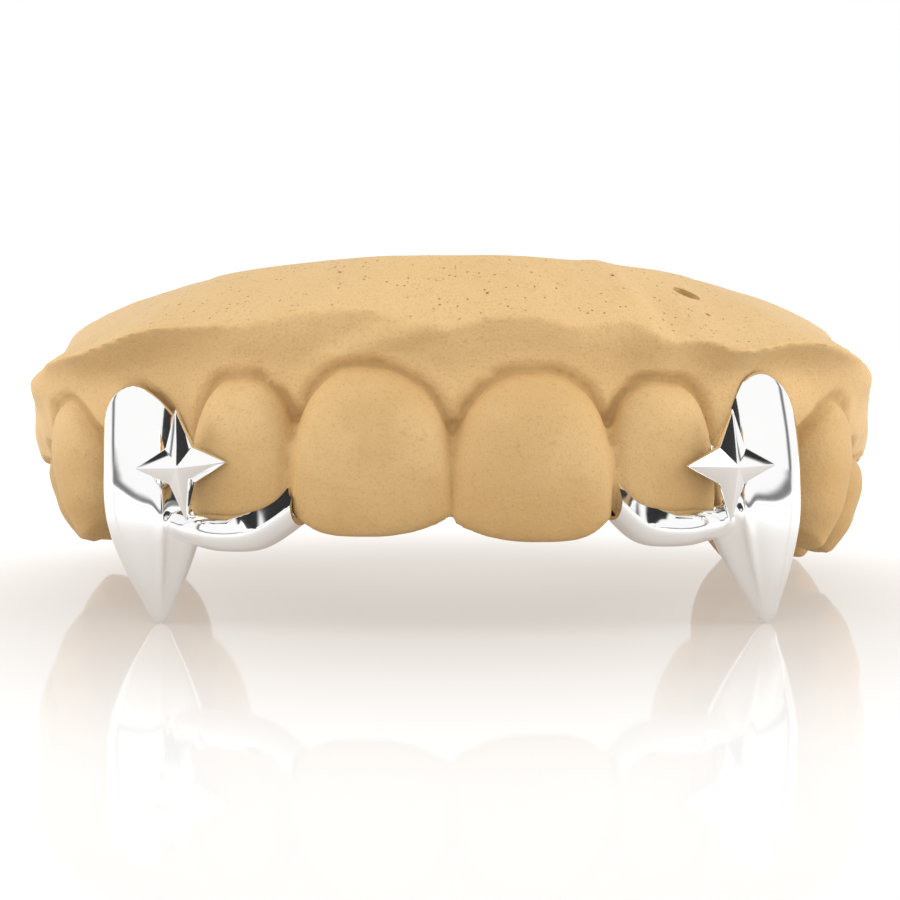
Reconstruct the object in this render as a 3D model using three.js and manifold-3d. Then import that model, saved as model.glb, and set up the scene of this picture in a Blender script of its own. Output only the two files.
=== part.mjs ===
// A pair of polished silver fang caps on the plaster dental cast that shows them.
// Lengths are millimetres. The cast is drawn in its own frame first: X is the viewer's right,
// Y runs back from the front teeth and Z runs up from the biting plane to the base, teeth down.
// The finished set is then leaned back until it stands on its two fang tips and rear molars.
import * as THREE from "three";
import { mergeVertices } from "three/addons/utils/BufferGeometryUtils.js";
import Module from "manifold-3d";

const wasm = await Module();
wasm.setup();

// Driving sizes of the cast
const ARCH_HALF_WIDTH = 24.2; // midline to the centre of the last molar
const ARCH_LENGTH = 38.6; // front teeth to the centre of the last molar
const TOOTH_DEPTH = 8.8; // side tooth, cheek to tongue
const CROWN_HEIGHT = 10.2; // biting edge to gum line on a front tooth
const BASE_HEIGHT = 16.9; // biting plane to the ground flat of the base
const RIDGE_HEIGHT = 12.2; // biting plane to the ridge where the gum meets the ground bevel
const RIDGE_OUT = 3.7; // ridge in front of the line of tooth centres, at the midline
const ARM_WIDTH = 12.5; // ridge to inner wall of the horseshoe, at the midline
const BUBBLE_WIDTH = 1.2; // open air bubble in the ground bevel
const BUBBLE_STATION = 2.2; // where it lies round the arch, in the stations below
const BUBBLE_UP = 0.47; // and its share of the way from the ridge to the flat

// Driving sizes of the silver
const FANG_WIDTH = 6.1; // widest part of a cap, side to side
const FANG_DROP = 4.9; // fang tip below the biting plane
const FANG_TOP = 9.7; // cap's top edge above the biting plane
const FIT_GAP = 0.28; // plaster to silver
const STAR_HEIGHT = 6.4; // point to point, upright
const STAR_WIDTH = 5.3; // point to point, across
const STAR_RISE = 1.15; // edge to peak
const STAR_PLATE = 0.5; // plain edge under the facets
const STAR_UP = 4.3; // its middle above the biting plane
const NOTCH_X = 0.145; // inner corners between the star's arms, in shares of its width
const NOTCH_Y = 0.16; // and of its height
const BOSS_WIDTH = 1.9; // solder boss behind the star's middle
const BOSS_LENGTH = 3.9;
const BAR_THICKNESS = 2.9; // incisal bar, front to back
const BAR_HEIGHT = 2.2; // incisal bar at its free end

// How finely each surface is cut
const FRONT_SIDES = 20;
const BACK_SIDES = 14;
const TOOTH_LEVELS = 8;
const CAP_RINGS = 3;
const CAST_STATIONS = 48;
const FANG_SIDES = 24;
const FANG_LEVELS = 14;
const BAR_SIDES = 14;
const BAR_STATIONS = 12;

const RAD = Math.PI / 180;

// A natural cubic spline through one column of a table, read at a value of the table's first column.
function spline(rows, at, column) {
  const n = rows.length;
  const x = rows.map((row) => row[at]);
  const y = rows.map((row) => row[column]);
  const bend = new Array(n).fill(0);
  const share = new Array(n).fill(0);
  for (let i = 1; i < n - 1; i++) {
    const ratio = (x[i] - x[i - 1]) / (x[i + 1] - x[i - 1]);
    const pivot = ratio * bend[i - 1] + 2;
    const step = (y[i + 1] - y[i]) / (x[i + 1] - x[i]) - (y[i] - y[i - 1]) / (x[i] - x[i - 1]);
    bend[i] = (ratio - 1) / pivot;
    share[i] = ((6 * step) / (x[i + 1] - x[i - 1]) - ratio * share[i - 1]) / pivot;
  }
  for (let i = n - 2; i >= 0; i--) bend[i] = bend[i] * bend[i + 1] + share[i];
  return (value) => {
    const v = Math.min(Math.max(value, x[0]), x[n - 1]);
    let i = 0;
    while (i < n - 2 && v > x[i + 1]) i++;
    const width = x[i + 1] - x[i];
    const a = (x[i + 1] - v) / width;
    const b = 1 - a;
    const cubic = (a ** 3 - a) * bend[i] + (b ** 3 - b) * bend[i + 1];
    return a * y[i] + b * y[i + 1] + (cubic * width ** 2) / 6;
  };
}

// One spline for each named column after the first.
function splines(rows) {
  const [at, ...columns] = Object.keys(rows[0]);
  return Object.fromEntries(columns.map((column) => [column, spline(rows, at, column)]));
}

// A closed skin over rings of points, all with one count, its two ends closed to a middle point.
function skin(rings, startPoint, endPoint) {
  const sides = rings[0].length;
  const positions = [...rings.flat(), startPoint, endPoint].flat();
  const start = rings.length * sides;
  const end = start + 1;
  const last = start - sides;
  const faces = [];
  for (let j = 0; j < sides; j++) {
    const k = (j + 1) % sides;
    faces.push(start, k, j, end, last + j, last + k);
    for (let i = 0; i < rings.length - 1; i++) {
      const a = i * sides;
      const b = a + sides;
      faces.push(a + j, a + k, b + k, a + j, b + k, b + j);
    }
  }
  const geometry = new THREE.BufferGeometry();
  geometry.setAttribute("position", new THREE.Float32BufferAttribute(positions, 3));
  geometry.setIndex(faces);
  return geometry;
}

// A closed three.js geometry as a solid, whichever way its faces were wound.
function solid(geometry) {
  const bare = geometry.clone();
  bare.deleteAttribute("normal");
  bare.deleteAttribute("uv");
  const merged = mergeVertices(bare, 1e-4);
  const triVerts = new Uint32Array(merged.index.array);
  const vertProperties = merged.attributes.position.array;
  const made = new wasm.Manifold(new wasm.Mesh({ numProp: 3, vertProperties, triVerts }));
  if (made.volume() > 0) return made;
  triVerts.reverse();
  return new wasm.Manifold(new wasm.Mesh({ numProp: 3, vertProperties, triVerts }));
}

function meshOf(name, made, material) {
  const { vertProperties, triVerts } = made.getMesh();
  const geometry = new THREE.BufferGeometry();
  geometry.setAttribute("position", new THREE.BufferAttribute(vertProperties, 3));
  geometry.setIndex(new THREE.BufferAttribute(triVerts, 1));
  geometry.computeVertexNormals();
  const mesh = new THREE.Mesh(geometry, material);
  mesh.name = name;
  return mesh;
}

// A point on a rounded box of half sizes wide and deep, the corners sharper as power rises.
function roundedBox(turn, wide, deep, power) {
  const across = Math.cos(turn);
  const ahead = Math.sin(turn);
  return [
    wide * Math.sign(across) * Math.abs(across) ** (2 / power),
    deep * Math.sign(ahead) * Math.abs(ahead) ** (2 / power),
  ];
}

// Local axes of something that faces outward from the arch. facing is degrees away from straight ahead.
function axesOf(facing) {
  const turn = facing * RAD;
  return {
    out: [Math.sin(turn), -Math.cos(turn)],
    along: [Math.cos(turn), Math.sin(turn)],
  };
}

// Teeth of one side. x and y are shares of ARCH_HALF_WIDTH and ARCH_LENGTH. width is a share of
// ARCH_HALF_WIDTH for the front teeth, which fill the arch across, and of ARCH_LENGTH for the back teeth,
// which fill it lengthways; depth is a share of TOOTH_DEPTH. crown, drop and uneven are shares of
// CROWN_HEIGHT: how tall the crown is, how far its lowest point passes the biting plane, and how much
// lower the viewer's right tooth is set than the left one.
// outward is how much further from the midline the viewer's right tooth is set, in shares as for x.
const TEETH = [
  { name: "central", kind: "incisor", x: 0.186, y: 0.083, facing: 4, width: 0.385, depth: 0.74, crown: 1.0, drop: 0.0, uneven: 0.015, outward: 0 },
  { name: "lateral", kind: "incisor", x: 0.484, y: 0.132, facing: 21, width: 0.2835, depth: 0.69, crown: 0.93, drop: -0.05, uneven: 0, outward: 0 },
  { name: "canine", kind: "canine", x: 0.75, y: 0.205, facing: 40, width: 0.211, depth: 0.74, crown: 1.0, drop: 0.03, uneven: 0, outward: 0 },
  { name: "premolar_1", kind: "premolar", x: 0.88, y: 0.366, facing: 62, width: 0.187, depth: 1.0, crown: 0.92, drop: 0.03, uneven: 0, outward: 0 },
  { name: "premolar_2", kind: "premolar", x: 0.935, y: 0.533, facing: 76, width: 0.1825, depth: 1.02, crown: 0.85, drop: -0.02, uneven: 0, outward: 0 },
  { name: "molar_1", kind: "molar", x: 0.99, y: 0.762, facing: 83, width: 0.2645, depth: 1.26, crown: 0.75, drop: 0.03, uneven: 0, outward: 0.012 },
  { name: "molar_2", kind: "molar", x: 1.0, y: 1.0, facing: 86, width: 0.251, depth: 1.2, crown: 0.72, drop: 0.045, uneven: 0, outward: 0 },
];

const CANINE = TEETH.find((row) => row.kind === "canine");

// Sections up a crown. up is a share of the crown's height; wide, front and back are shares of its half
// width and half depth, front and back measured from the tooth's centre line.
const CROWN_SECTIONS = {
  incisor: [
    { up: 0.0, wide: 0.9, front: 0.78, back: -0.42 },
    { up: 0.05, wide: 0.94, front: 0.85, back: -0.36 },
    { up: 0.14, wide: 0.97, front: 0.91, back: -0.25 },
    { up: 0.3, wide: 1.0, front: 0.97, back: -0.05 },
    { up: 0.5, wide: 0.99, front: 1.0, back: 0.4 },
    { up: 0.68, wide: 0.93, front: 0.99, back: 0.78 },
    { up: 0.85, wide: 0.82, front: 0.86, back: 0.95 },
    { up: 1.0, wide: 0.68, front: 0.6, back: 0.95 },
    { up: 1.2, wide: 0.5, front: 0.3, back: 0.8 },
  ],
  canine: [
    { up: 0.0, wide: 0.3, front: 0.25, back: 0.15 },
    { up: 0.05, wide: 0.5, front: 0.38, back: 0.25 },
    { up: 0.14, wide: 0.72, front: 0.5, back: 0.4 },
    { up: 0.3, wide: 0.92, front: 0.6, back: 0.62 },
    { up: 0.5, wide: 1.0, front: 0.66, back: 0.9 },
    { up: 0.7, wide: 0.98, front: 0.64, back: 1.05 },
    { up: 0.86, wide: 0.86, front: 0.52, back: 1.1 },
    { up: 1.0, wide: 0.7, front: 0.36, back: 1.05 },
    { up: 1.2, wide: 0.55, front: 0.1, back: 0.9 },
  ],
  premolar: [
    { up: 0.0, wide: 0.66, front: 0.6, back: 0.6 },
    { up: 0.06, wide: 0.8, front: 0.76, back: 0.76 },
    { up: 0.2, wide: 0.94, front: 0.9, back: 0.92 },
    { up: 0.42, wide: 1.0, front: 1.0, back: 1.0 },
    { up: 0.65, wide: 0.95, front: 0.98, back: 1.0 },
    { up: 0.85, wide: 0.84, front: 0.88, back: 0.95 },
    { up: 1.0, wide: 0.72, front: 0.74, back: 0.88 },
    { up: 1.2, wide: 0.55, front: 0.5, back: 0.7 },
  ],
};
CROWN_SECTIONS.molar = CROWN_SECTIONS.premolar;

// Cusps on a biting face: place in shares of the half width and half depth, rise in millimetres.
const CUSPS = {
  incisor: [],
  canine: [{ across: 0, ahead: 0.1, rise: 0.5 }],
  premolar: [
    { across: 0.0, ahead: 0.52, rise: 1.5 },
    { across: 0.05, ahead: -0.55, rise: 1.1 },
  ],
  molar: [
    { across: -0.42, ahead: 0.52, rise: 1.3 },
    { across: 0.44, ahead: 0.5, rise: 1.2 },
    { across: -0.45, ahead: -0.5, rise: 1.4 },
    { across: 0.42, ahead: -0.5, rise: 1.3 },
  ],
};
const CUSP_SPREAD = 0.34;
const CUSP_FADE = 0.3; // share of the crown over which cusps die away up its sides
const INNER_CORNER = 0.5; // how far a front tooth's edge is worn up at its corner by the midline
const OUTER_CORNER = 1.6; // and at its other corner
const CORNER_POWER = 4;
const LINGUAL_TAPER = 0.16; // crowns are this much narrower on the tongue side
const CROWN_POWER = { incisor: 2.5, canine: 2.2, premolar: 2.5, molar: 2.9 };

// How far a tooth's biting face stands out past its edge, cusps positive and worn corners negative.
function biteRelief(kind, across, ahead) {
  let height = 0;
  for (const cusp of CUSPS[kind]) {
    const away = (across - cusp.across) ** 2 + (ahead - cusp.ahead) ** 2;
    height += cusp.rise * Math.exp(-away / CUSP_SPREAD ** 2);
  }
  if (kind === "incisor") {
    const corner = across > 0 ? OUTER_CORNER : INNER_CORNER;
    height -= corner * Math.abs(across) ** CORNER_POWER;
  }
  return height;
}

// Where a tooth stands in the cast's frame, in millimetres, on side 1 (the viewer's right) or -1.
function toothPlace(tooth, side) {
  const cusp = Math.max(0, ...CUSPS[tooth.kind].map((row) => row.rise));
  const span = CUSPS[tooth.kind].length > 1 ? ARCH_LENGTH : ARCH_HALF_WIDTH;
  return {
    ...axesOf(tooth.facing),
    x: (tooth.x + side * tooth.outward) * ARCH_HALF_WIDTH,
    y: tooth.y * ARCH_LENGTH,
    halfWidth: (tooth.width * span) / 2,
    halfDepth: (tooth.depth * TOOTH_DEPTH) / 2,
    height: tooth.crown * CROWN_HEIGHT,
    edge: cusp - (tooth.drop + side * tooth.uneven) * CROWN_HEIGHT,
  };
}

// A point given by its distances along and out of a tooth's own axes.
function fromTooth(place, side, across, ahead, z) {
  return [
    side * (place.x + across * place.along[0] + ahead * place.out[0]),
    place.y + across * place.along[1] + ahead * place.out[1],
    z,
  ];
}

function middleOf(points) {
  const sum = points.reduce((a, p) => [a[0] + p[0], a[1] + p[1], a[2] + p[2]], [0, 0, 0]);
  return sum.map((v) => v / points.length);
}

// One tooth, its root end buried in the gum, grown all round by a clearance.
function toothSolid(tooth, side, grow) {
  const place = toothPlace(tooth, side);
  const sections = CROWN_SECTIONS[tooth.kind];
  const shape = splines(sections);
  const rootUp = sections.at(-1).up;
  const sides = tooth.kind === "incisor" ? FRONT_SIDES : BACK_SIDES;
  const ring = (up, shrink) => {
    const wide = shape.wide(up) * place.halfWidth + grow;
    const front = shape.front(up) * place.halfDepth + grow;
    const back = shape.back(up) * place.halfDepth + grow;
    const fade = Math.max(0, 1 - up / CUSP_FADE) ** 2;
    return Array.from({ length: sides }, (_, j) => {
      const turn = ((j + 0.5) / sides) * 2 * Math.PI;
      const box = roundedBox(turn, wide, (front + back) / 2, CROWN_POWER[tooth.kind]);
      const taper = 1 - LINGUAL_TAPER * Math.max(0, -Math.sin(turn));
      const across = box[0] * taper * shrink;
      const ahead = (front - back) / 2 + box[1] * shrink;
      const relief = biteRelief(tooth.kind, across / place.halfWidth, ahead / place.halfDepth);
      const z = place.edge + up * place.height - relief * fade - grow * (1 - up / rootUp);
      return fromTooth(place, side, across, ahead, z);
    });
  };
  const rings = [];
  for (let i = 0; i <= TOOTH_LEVELS; i++) rings.push(ring(rootUp * (1 - i / TOOTH_LEVELS) ** 1.35, 1));
  for (let i = 1; i < CAP_RINGS; i++) rings.push(ring(0, 1 - i / CAP_RINGS));
  return solid(skin(rings, middleOf(rings[0]), middleOf(rings.at(-1))));
}

// Stations of the gum and base, from the midline back. x and y are shares as for the teeth. low to ridge
// are how far the gum's outer face lies outside the line of tooth centres at the heights of GUM_HEIGHTS,
// and flat the same for the edge of the ground flat, all in shares of RIDGE_OUT; inner is the inner wall,
// in shares of ARM_WIDTH.
const STATIONS = [
  { at: 0, x: 0, y: 0.079, low: 0.34, mid: 0.46, high: 0.62, lip: 0.83, ridge: 1.0, flat: -0.15, inner: 0.72 },
  { at: 1, x: 0.186, y: 0.083, low: 0.34, mid: 0.46, high: 0.62, lip: 0.83, ridge: 1.0, flat: -0.2, inner: 0.72 },
  { at: 2, x: 0.47, y: 0.132, low: 0.28, mid: 0.42, high: 0.62, lip: 0.9, ridge: 1.1, flat: -0.6, inner: 0.74 },
  { at: 3, x: 0.75, y: 0.205, low: 0.1, mid: 0.34, high: 0.44, lip: 0.64, ridge: 1.25, flat: -1.25, inner: 0.8 },
  { at: 4, x: 0.88, y: 0.366, low: 0.6, mid: 0.95, high: 1.15, lip: 1.35, ridge: 1.45, flat: -0.95, inner: 0.76 },
  { at: 5, x: 0.935, y: 0.533, low: 1.1, mid: 1.4, high: 1.5, lip: 1.6, ridge: 1.65, flat: -0.25, inner: 0.72 },
  { at: 6, x: 0.962, y: 0.762, low: 1.75, mid: 1.9, high: 1.92, lip: 1.93, ridge: 1.93, flat: 0.8, inner: 0.7 },
  { at: 7, x: 1.0, y: 1.0, low: 1.8, mid: 1.97, high: 2.0, lip: 2.02, ridge: 2.02, flat: 1.5, inner: 0.68 },
  { at: 8, x: 1.03, y: 1.17, low: 1.8, mid: 1.97, high: 2.0, lip: 2.02, ridge: 2.02, flat: 1.6, inner: 0.66 },
];

// Heights of those gum points, in shares of the ridge's own height.
const GUM_HEIGHTS = { low: 0.56, mid: 0.69, high: 0.82, lip: 0.92, ridge: 1.0 };

// Height of the ridge round the arch, in shares of RIDGE_HEIGHT, from the viewer's left arm to the right.
const RIDGE_LINE = [
  { at: -8, height: 0.98 },
  { at: -6, height: 0.96 },
  { at: -4, height: 0.94 },
  { at: -3, height: 0.99 },
  { at: -2, height: 1.02 },
  { at: -1, height: 1.06 },
  { at: -0.3, height: 0.98 },
  { at: 0.3, height: 0.98 },
  { at: 1, height: 1.03 },
  { at: 1.6, height: 0.99 },
  { at: 2.5, height: 0.93 },
  { at: 3.2, height: 0.93 },
  { at: 4, height: 0.95 },
  { at: 6, height: 0.97 },
  { at: 8, height: 0.98 },
];

// The tongue side from the base down to the teeth: inner in shares of the inner wall's reach, height in
// shares of BASE_HEIGHT.
const TONGUE_FACE = [
  { inner: 1.0, height: 1.0 },
  { inner: 0.98, height: 0.8 },
  { inner: 0.84, height: 0.6 },
  { inner: 0.62, height: 0.46 },
  { inner: 0.3, height: 0.36 },
  { inner: 0.0, height: 0.34 },
];
const BEVEL_BULGE = 0.3; // the ground bevel's middle stands out this far

// A flat outline, drawn anticlockwise, with each point moved out by a clearance.
function grown(outline, grow) {
  const n = outline.length;
  return outline.map(([x, y], i) => {
    const before = outline[(i + n - 1) % n];
    const after = outline[(i + 1) % n];
    const dx = after[0] - before[0];
    const dy = after[1] - before[1];
    const length = Math.hypot(dx, dy);
    return [x + (grow * dy) / length, y - (grow * dx) / length];
  });
}

// The section of the gum and base at any station, as a function, grown all round by a clearance.
function gumSection(grow) {
  const right = STATIONS.slice(1);
  const left = right.map((row) => ({ ...row, at: -row.at, x: -row.x })).reverse();
  const path = splines([...left, STATIONS[0], ...right]);
  const ridgeLine = splines(RIDGE_LINE);
  const step = 1e-3;
  return (at) => {
    const dx = (path.x(at + step) - path.x(at - step)) * ARCH_HALF_WIDTH;
    const dy = (path.y(at + step) - path.y(at - step)) * ARCH_LENGTH;
    const length = Math.hypot(dx, dy);
    const ridgeUp = ridgeLine.height(at) * RIDGE_HEIGHT;
    const ridgeOut = path.ridge(at) * RIDGE_OUT;
    const flatOut = path.flat(at) * RIDGE_OUT;
    const profile = [
      ...Object.keys(GUM_HEIGHTS).map((key) => [path[key](at) * RIDGE_OUT, GUM_HEIGHTS[key] * ridgeUp]),
      [(ridgeOut + flatOut) / 2, (ridgeUp + BASE_HEIGHT) / 2 + BEVEL_BULGE],
      [flatOut, BASE_HEIGHT],
      ...TONGUE_FACE.map((row) => [-row.inner * path.inner(at) * ARM_WIDTH, row.height * BASE_HEIGHT]),
    ];
    const x = path.x(at) * ARCH_HALF_WIDTH;
    const y = path.y(at) * ARCH_LENGTH;
    return grown(profile, grow).map(([out, z]) => [x + (out * dy) / length, y - (out * dx) / length, z]);
  };
}

// The gum and base as one swept horseshoe, grown all round by a clearance.
function gumSolid(grow) {
  const section = gumSection(grow);
  const last = STATIONS.at(-1).at;
  const rings = Array.from({ length: CAST_STATIONS + 1 }, (_, i) => section(last * ((2 * i) / CAST_STATIONS - 1)));
  return solid(skin(rings, middleOf(rings[0]), middleOf(rings.at(-1))));
}

// The whole cast: gum, base and every tooth of both sides.
function castSolid(grow) {
  let made = gumSolid(grow);
  for (const { side } of SIDES) {
    for (const tooth of TEETH) made = made.add(toothSolid(tooth, side, grow));
  }
  return made;
}

// Sections down a fang cap from its top edge to its tip. down is a share of the cap's whole length; side,
// front and back are shares of half of FANG_WIDTH.
const FANG_SECTIONS = [
  { down: 0.0, side: 0.84, front: 0.86, back: 0.8 },
  { down: 0.12, side: 0.92, front: 0.92, back: 0.86 },
  { down: 0.3, side: 1.0, front: 0.97, back: 0.9 },
  { down: 0.48, side: 1.02, front: 0.96, back: 0.92 },
  { down: 0.6, side: 0.94, front: 0.88, back: 0.84 },
  { down: 0.72, side: 0.75, front: 0.7, back: 0.66 },
  { down: 0.84, side: 0.5, front: 0.48, back: 0.44 },
  { down: 0.93, side: 0.29, front: 0.28, back: 0.26 },
  { down: 0.98, side: 0.15, front: 0.15, back: 0.14 },
  { down: 1.0, side: 0.05, front: 0.05, back: 0.05 },
];
const FANG_POWER = 2.15;
const MARGIN_LOW = 1.0; // cap's edge on the tongue side, above the biting plane
const MARGIN_POWER = 1.6; // how fast the edge falls from its highest point to its lowest
const MARGIN_TURN = 24; // degrees that its highest point is turned towards the midline
const RIM_IN = 1.0; // the edge's rim runs this far in, under the surface of the tooth
const LEAN_FROM = 0.4; // share of the cap's length where the fang starts to lean

// The two castings. rise lifts the cap's top edge, topIn and tipIn carry its top and its tip towards the
// midline and barUp lifts the bar, in millimetres; barShort shortens the bar in shares of half the side
// incisor's width. starIn and starOut are the star's middle from the eye tooth's centre, towards the midline
// and out along that tooth's own axes, in shares of FANG_WIDTH; its yaw turns it outwards, its pitch tips it
// down and its roll turns it in its own plane, in degrees.
const SIDES = [
  {
    name: "left", side: -1, rise: -0.35, topIn: -0.4, tipIn: 0.5, barUp: 0, barShort: 0,
    starIn: 0.877, starOut: 0.433, starYaw: 5, starPitch: -12, starRoll: 3.5,
  },
  {
    name: "right", side: 1, rise: 0.45, topIn: 0.3, tipIn: -0.95, barUp: 0.3, barShort: 0.15,
    starIn: 0.815, starOut: 0.485, starYaw: 11, starPitch: -10, starRoll: 2,
  },
];

function fangSolid({ side, rise, topIn, tipIn }) {
  const place = toothPlace(CANINE, side);
  const shape = splines(FANG_SECTIONS);
  const half = FANG_WIDTH / 2;
  const top = FANG_TOP + rise;
  const length = top + FANG_DROP;
  const turns = Array.from({ length: FANG_SIDES }, (_, j) => (j / FANG_SIDES) * 2 * Math.PI);
  const margin = (turn) => {
    const ahead = (1 + Math.sin(turn - MARGIN_TURN * RAD)) / 2;
    return MARGIN_LOW + (top - MARGIN_LOW) * ahead ** MARGIN_POWER;
  };
  const leanAt = (z) => {
    const past = (top - z) / length - LEAN_FROM;
    const share = past > 0 ? past / (1 - LEAN_FROM) : -past / LEAN_FROM;
    return (past > 0 ? tipIn : topIn) * share ** 1.5;
  };
  const point = (turn, z, inset) => {
    const down = (top - z) / length;
    const deep = (Math.sin(turn) > 0 ? shape.front(down) : shape.back(down)) * half;
    const [across, ahead] = roundedBox(turn, shape.side(down) * half, deep, FANG_POWER);
    const keep = 1 - inset / Math.hypot(across, ahead);
    const [x, y] = fromTooth(place, side, across * keep, ahead * keep, z);
    return [x - side * leanAt(z), y, z];
  };
  const rings = [turns.map((turn) => point(turn, margin(turn), RIM_IN))];
  for (let i = 0; i <= FANG_LEVELS; i++) {
    const share = (i / FANG_LEVELS) ** 0.85;
    rings.push(turns.map((turn) => point(turn, margin(turn) * (1 - share) - FANG_DROP * share, 0)));
  }
  const heart = fromTooth(place, side, 0, 0, (MARGIN_LOW + top) / 2);
  return solid(skin(rings, heart, middleOf(rings.at(-1))));
}

// A four-pointed star with faceted arms and the solder boss behind it, set on the front of its cap.
function starSolid({ side, starIn, starOut, starYaw, starPitch, starRoll }) {
  const notch = { x: NOTCH_X * STAR_WIDTH, y: NOTCH_Y * STAR_HEIGHT };
  const quarter = [[STAR_WIDTH / 2, 0], [notch.x, notch.y], [0, STAR_HEIGHT / 2], [-notch.x, notch.y]];
  const outline = [...quarter, ...quarter.map(([x, y]) => [-x, -y])];
  const back = outline.map(([x, y]) => [x, y, -STAR_PLATE]);
  const edge = outline.map(([x, y]) => [x, y, 0]);
  const star = skin([back, edge], [0, 0, -STAR_PLATE], [0, 0, STAR_RISE]);
  const boss = new THREE.CylinderGeometry(BOSS_WIDTH / 2, BOSS_WIDTH / 2, BOSS_LENGTH, 10);
  boss.rotateX(Math.PI / 2);
  boss.translate(0, 0, -BOSS_LENGTH / 2 - STAR_PLATE / 2);
  const canine = toothPlace(CANINE, side);
  const yaw = starYaw * RAD * side;
  const pitch = starPitch * RAD;
  const place = new THREE.Object3D();
  place.up.set(0, 0, 1);
  place.position.set(...fromTooth(canine, side, -starIn * FANG_WIDTH, starOut * FANG_WIDTH, STAR_UP));
  const aim = new THREE.Vector3(Math.sin(yaw) * Math.cos(pitch), -Math.cos(yaw) * Math.cos(pitch), Math.sin(pitch));
  place.lookAt(aim.add(place.position));
  place.rotateZ(starRoll * RAD);
  place.updateMatrix();
  return solid(star.applyMatrix4(place.matrix)).add(solid(boss.applyMatrix4(place.matrix)));
}

// Stations of the bar that runs from the cap along the biting edge of the side incisor. along and out are
// the bar's middle from that tooth's centre, along it in shares of half its width and out of it in
// millimetres, up is from the biting plane, and thick and high are shares of BAR_THICKNESS and BAR_HEIGHT.
// The last station lies inside the cap, and its along and out are from the eye tooth's centre, in shares of
// FANG_WIDTH.
const BAR_PATH = [
  { at: 0, along: -1.0, out: 1.6, up: 1.55, thick: 0.94, high: 1.1 },
  { at: 1, along: -0.5, out: 1.75, up: 0.6, thick: 1.0, high: 0.94 },
  { at: 2, along: 0.0, out: 1.8, up: 0.2, thick: 1.0, high: 0.78 },
  { at: 3, along: 0.45, out: 1.75, up: 0.2, thick: 0.96, high: 0.66 },
  { at: 4, along: 0.78, out: 1.0, up: 0.35, thick: 0.8, high: 0.56 },
  { at: 5, along: -0.36, out: -0.15, up: 0.6, thick: 0.5, high: 0.44 },
];
const BAR_POWER = 2.3;

function barSolid({ side, barUp, barShort }) {
  const lateral = toothPlace(TEETH.find((row) => row.name === "lateral"), side);
  const canine = toothPlace(CANINE, side);
  const last = BAR_PATH.at(-1).at;
  const stops = BAR_PATH.map((row) => {
    const along = row.at === 0 ? row.along + barShort : row.along;
    const [x, y] =
      row.at === last
        ? fromTooth(canine, side, along * FANG_WIDTH, row.out * FANG_WIDTH, 0)
        : fromTooth(lateral, side, along * lateral.halfWidth, row.out, 0);
    return { at: row.at, x, y, up: row.up + barUp, thick: row.thick, high: row.high };
  });
  const path = splines(stops);
  const rings = Array.from({ length: BAR_STATIONS + 1 }, (_, i) => {
    const at = (last * i) / BAR_STATIONS;
    return Array.from({ length: BAR_SIDES }, (_, j) => {
      const turn = (j / BAR_SIDES) * 2 * Math.PI;
      const thick = (path.thick(at) * BAR_THICKNESS) / 2;
      const [out, up] = roundedBox(turn, thick, (path.high(at) * BAR_HEIGHT) / 2, BAR_POWER);
      return [path.x(at) + side * out * lateral.out[0], path.y(at) + out * lateral.out[1], path.up(at) + up];
    });
  });
  return solid(skin(rings, middleOf(rings[0]), middleOf(rings.at(-1))));
}

// An air bubble that the grinding opened in the base's bevel, on the viewer's right.
function bubbleSolid() {
  const section = gumSection(0)(BUBBLE_STATION);
  const ridge = section[Object.keys(GUM_HEIGHTS).length - 1];
  const flat = section[Object.keys(GUM_HEIGHTS).length + 1];
  const spot = ridge.map((v, i) => v + (flat[i] - v) * BUBBLE_UP);
  const geometry = new THREE.SphereGeometry(BUBBLE_WIDTH / 2, 12, 8);
  geometry.translate(...spot);
  return solid(geometry);
}

// The lowest point of a mesh once it leans back by an angle.
function lowestPoint(mesh, lean) {
  const { position } = mesh.geometry.attributes;
  const lowest = new THREE.Vector3(0, 0, Infinity);
  const point = new THREE.Vector3();
  for (let i = 0; i < position.count; i++) {
    point.fromBufferAttribute(position, i).applyAxisAngle(new THREE.Vector3(1, 0, 0), -lean);
    if (point.z < lowest.z) lowest.copy(point);
  }
  return lowest;
}

const plaster = new THREE.MeshStandardMaterial({ color: 0xdcb77a, roughness: 0.85, metalness: 0 });
const silver = new THREE.MeshStandardMaterial({ color: 0xe6e6e8, roughness: 0.08, metalness: 1 });

const clear = castSolid(FIT_GAP);
const cast = meshOf("plaster_cast", castSolid(0).subtract(bubbleSolid()), plaster);
const caps = SIDES.map((row) => {
  const metal = fangSolid(row).add(starSolid(row)).add(barSolid(row)).subtract(clear);
  return meshOf("fang_cap_" + row.name, metal, silver);
});
const set = new THREE.Group();
set.add(cast, ...caps);

// Lean the set back until its fang tips and rear molars reach one floor.
let lean = 0;
for (let i = 0; i < 8; i++) {
  const tip = lowestPoint(caps[0], lean);
  const heel = lowestPoint(cast, lean);
  lean += Math.atan2(heel.z - tip.z, Math.abs(heel.y - tip.y));
}
set.rotation.x = -lean;
const box = new THREE.Box3().setFromObject(set, true);
const middle = box.getCenter(new THREE.Vector3());
set.position.set(-middle.x, -middle.y, -box.min.z);

const part = new THREE.Group();
part.add(set);
export default part;
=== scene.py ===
# Polished silver fang caps on their plaster dental cast: the looks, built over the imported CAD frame.
# Shapes are drawn in millimetres in the cast's own frame, as in the part's source: X is the viewer's
# right, Y runs back from the front teeth and Z runs up from the biting plane. TO_ROW carries them to
# the row's frame, in metres, where the camera, the lights and the floor are placed.
import math

import bpy
import numpy as np
from mathutils import Matrix, Vector
from mathutils.kdtree import KDTree


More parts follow.
